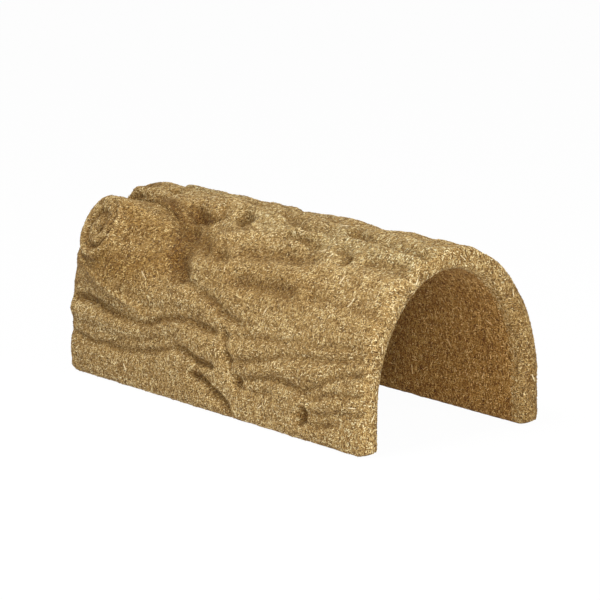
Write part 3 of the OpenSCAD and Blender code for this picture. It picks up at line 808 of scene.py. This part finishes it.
def scattered(name, mesh, count, wanted, rng, blanks, lean, spread):
    """Chopped stalks that lie in the faces of a mesh that are wanted, spread about one lean."""
    faces = [polygon for polygon in mesh.polygons if wanted(polygon)]
    areas = list(accumulate(polygon.area for polygon in faces))
    tints = mesh.attributes[TINT].data
    field = bmesh.new()
    for _ in range(count):
        polygon = faces[bisect(areas, rng.uniform(0, areas[-1]))]
        corners = [mesh.vertices[index].co for index in polygon.vertices]
        place = corners[0].lerp(corners[1], rng.random()).lerp(corners[2], rng.random())
        normal = polygon.normal
        side = Vector((1, 0, 0)) if abs(normal.x) < END_FACING else Vector((0, 1, 0))
        along = (side - side.dot(normal) * normal).normalized()
        along = Matrix.Rotation(lean + rng.uniform(-spread, spread), 3, normal) @ along
        along = (along + rng.gauss(0, FLAKE_TILT) * normal).normalized()
        across = normal.cross(along).normalized()
        up = along.cross(across)
        length = rng.triangular(*FLAKE_LENGTHS) * MM
        width = FLAKE_WIDTH * rng.uniform(*FLAKE_WIDTHS)
        shape = Matrix((along * length, across * width, up * FLAKE_THICKNESS)).transposed().to_4x4()
        shape.translation = place + normal * rng.uniform(*FLAKE_LIFTS) * MM
        # Flakes darken with the painted shade, and the browner hay of the hollows, in the skin below them
        tint = min(1.0, tints[polygon.vertices[0]].vector.y)
        shade = rng.uniform(*FLAKE_TONES) * tint ** TINT_PULL
        tone = max(0, min(TONES - 1, int(TONES * shade)))
        blank, coordinates = blanks[tone]
        blank.vertices.foreach_set("co", coordinates)
        blank.transform(shape)
        field.from_mesh(blank)
    flakes = bpy.data.meshes.new(name)
    field.to_mesh(flakes)
    field.free()
    return linked(name, flakes)


def is_stub_side(polygon):
    """Is a face on the bark of the stub's side?"""
    return polygon.center.y < 0 and is_bark(polygon.center, polygon.normal)


def is_plain_side(polygon):
    """Is a face on the bark of the other side?"""
    return polygon.center.y >= 0 and is_bark(polygon.center, polygon.normal)


def is_inside(polygon):
    """Is a face on a rim or in the tunnel, clear of the floor?"""
    return not is_bark(polygon.center, polygon.normal) and polygon.center.z > FOOT_CLEARANCE


def is_rim(polygon):
    """Is a face on a rim or in the tunnel's mouth?"""
    return is_inside(polygon) and abs(polygon.center.x) > HALF_LENGTH - MOUTH


def is_tunnel(polygon):
    """Is a face in the tunnel, behind its mouth?"""
    return is_inside(polygon) and abs(polygon.center.x) <= HALF_LENGTH - MOUTH


def dressed(piece, slot, material, *nodes):
    """Puts a finished piece on the part's body, with its material and the nodes it stands for."""
    piece.data.materials.clear()
    piece.data.materials.append(material)
    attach(piece, "root")
    if nodes:
        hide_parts(*nodes)


def aimed(name, data, azimuth, elevation, distance):
    """Lamp or camera that looks at the camera's target from a direction in degrees."""
    turn = math.radians(azimuth)
    climb = math.radians(elevation)
    flat = math.cos(climb)
    back = Vector((math.sin(turn) * flat, -math.cos(turn) * flat, math.sin(climb)))
    piece = linked(name, data)
    piece.location = CAMERA_TARGET + distance * back
    piece.rotation_euler = back.to_track_quat("Z", "Y").to_euler()
    return piece


def place_camera():
    """Camera at the photograph's view."""
    data = bpy.data.cameras.new("camera")
    data.lens = CAMERA_LENS
    data.sensor_width = CAMERA_SENSOR
    view = (CAMERA_AZIMUTH, CAMERA_ELEVATION, CAMERA_DISTANCE)
    bpy.context.scene.camera = aimed("camera", data, *view)


def white_seen(tree):
    """1 for what the camera sees straight, in a mirror or through glass."""
    path = add(tree, "ShaderNodeLightPath").outputs
    seen = calc(tree, "MAXIMUM", path["Is Camera Ray"], path["Is Glossy Ray"])
    return calc(tree, "MAXIMUM", seen, path["Is Transmission Ray"])


def light_studio():
    """Soft light from all round, white where it is seen, and three lamps."""
    world = bpy.data.worlds.new("studio")
    bpy.context.scene.world = world
    world.use_nodes = True
    tree = world.node_tree
    inputs = {"Value": white_seen(tree), "To Min": WORLD_LIGHT, "To Max": 1.0}
    strength = add(tree, "ShaderNodeMapRange", inputs).outputs[0]
    tree.links.new(strength, tree.nodes["Background"].inputs["Strength"])
    tree.nodes["Background"].inputs["Color"].default_value = WHITE
    for name, (azimuth, elevation, distance, size, power) in LAMPS.items():
        data = bpy.data.lights.new(name, "AREA")
        data.size = size
        data.energy = power
        aimed(name, data, azimuth, elevation, distance)


def lay_floor():
    """Pale floor that glows white where it is seen, and keeps a faint shadow."""
    bm = bmesh.new()
    bmesh.ops.create_grid(bm, x_segments=1, y_segments=1, size=FLOOR_HALF_SIZE)
    bmesh.ops.translate(bm, verts=bm.verts, vec=(0, 0, -FLOOR_DROP))
    mesh = bpy.data.meshes.new("floor")
    bm.to_mesh(mesh)
    bm.free()
    floor = linked("floor", mesh)
    material, tree, shader = matte("white_floor", *FLOOR_FINISH)
    shader.inputs["Base Color"].default_value = FLOOR_COLOUR
    glow = add(tree, "ShaderNodeEmission", {"Color": WHITE, "Strength": 1.0})
    share = calc(tree, "MULTIPLY", white_seen(tree), FLOOR_GLOW)
    both = add(tree, "ShaderNodeMixShader", {0: share, 1: shader.outputs[0], 2: glow.outputs[0]})
    tree.links.new(both.outputs[0], tree.nodes["Material Output"].inputs["Surface"])
    floor.data.materials.append(material)


bpy.context.scene.view_settings.view_transform = "Standard"
place_camera()
light_studio()
lay_floor()

hay = pressed_hay()
straw = loose_straw("loose_straw", NO_TINT)
# The tunnel's copy of the straw carries its painted shade
tunnel_straw = loose_straw("tunnel_straw", TUNNEL_SHADE_TINT)
long_stalks = long_straw("long_straw", NO_TINT)
# The tunnel's long stalks carry its painted shade too
long_tunnel_stalks = long_straw("long_tunnel_straw", TUNNEL_SHADE_TINT)

log_mesh = even_copy("log_skin", "log_shell", LOG_MESH)
soften(log_mesh)
refine_bark(log_mesh)
carve_bark(log_mesh)
map_grain(log_mesh)
dressed(linked("log_skin", log_mesh), "pressed_hay", hay, "log_shell")

stub_mesh = even_copy("stub_skin", "branch_stub", STUB_MESH)
soften(stub_mesh)
carve_stub(stub_mesh)
map_grain(stub_mesh)
dressed(linked("stub_skin", stub_mesh), "stub_hay", hay, "branch_stub")

rng = random.Random(SEED)
blanks = flake_blanks()
# Fields of loose flakes: name, skin, count, faces that carry them, lean, spread, slot and material
fields = [
    ("stub_side_chaff", log_mesh, 22000, is_stub_side, STEEP, 1.2, "bark_straw", straw),
    ("plain_side_chaff", log_mesh, 22000, is_plain_side, STEEP, 1.2, "bark_straw", straw),
    ("rim_chaff", log_mesh, 6000, is_rim, 0.0, 1.6, "rim_straw", straw),
    ("tunnel_chaff", log_mesh, 16000, is_tunnel, -STEEP, 1.2, "tunnel_straw", tunnel_straw),
    ("stub_chaff", stub_mesh, 2500, lambda polygon: True, STEEP, 1.4, "bark_straw", straw),
]
for name, mesh, count, wanted, lean, spread, slot, material in fields:
    dressed(scattered(name, mesh, count, wanted, rng, blanks, lean, spread), slot, material)
for blank, _ in blanks:
    bpy.data.meshes.remove(blank)

stalk_materials = {
    "bark_stalks": long_stalks,
    "rim_stalks": long_stalks,
    "tunnel_stalks": long_tunnel_stalks,
}
for node, material in stalk_materials.items():
    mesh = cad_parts[node].data
    mesh.materials.clear()
    mesh.materials.append(material)
